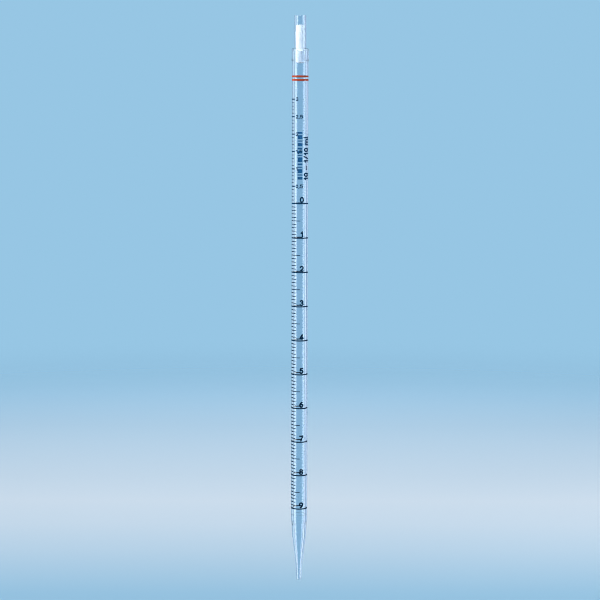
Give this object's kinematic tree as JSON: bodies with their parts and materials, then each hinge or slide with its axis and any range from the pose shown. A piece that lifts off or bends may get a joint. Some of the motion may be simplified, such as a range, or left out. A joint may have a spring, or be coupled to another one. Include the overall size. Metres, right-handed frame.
{
  "type": "serological pipette",
  "caption": "Clear plastic graduated pipette with a plugged mouth tube, a collared shoulder, two colour rings and a conical tip.",
  "frame": {"origin": "on the tube's axis, in the plane of the shoulder that the mouth tube stands on", "axes": "+Z along the tube towards the mouth; -Y is the side the scale is read from; +X to the reader's right"},
  "size_m": [0.0104, 0.0104, 0.3448],
  "materials": {
    "clear_tube": "clear polystyrene, extruded",
    "clear_mouthpiece": "clear polystyrene, moulded",
    "clear_tip": "clear polystyrene, moulded",
    "cotton": "loose white cotton fibre",
    "orange_ink": "orange-red printed film",
    "black_ink": "blue-black printed film",
    "blue_ink": "blue printed film"
  },
  "bodies": {
    "root": {"barrel": "clear_tube", "mouthpiece": "clear_mouthpiece", "tip_nozzle": "clear_tip", "filter_plug": "cotton", "colour_ring_upper": "orange_ink", "colour_ring_lower": "orange_ink", "millilitre_lines": "black_ink", "half_millilitre_ticks": "black_ink", "tenth_millilitre_ticks": "black_ink", "reserve_ticks": "black_ink", "reserve_bold_ticks": "black_ink", "scale_numerals": "black_ink", "reserve_numerals": "black_ink", "capacity_label": "black_ink", "label_dashes": "black_ink", "batch_strip": "blue_ink"}
  },
  "joints": []
}
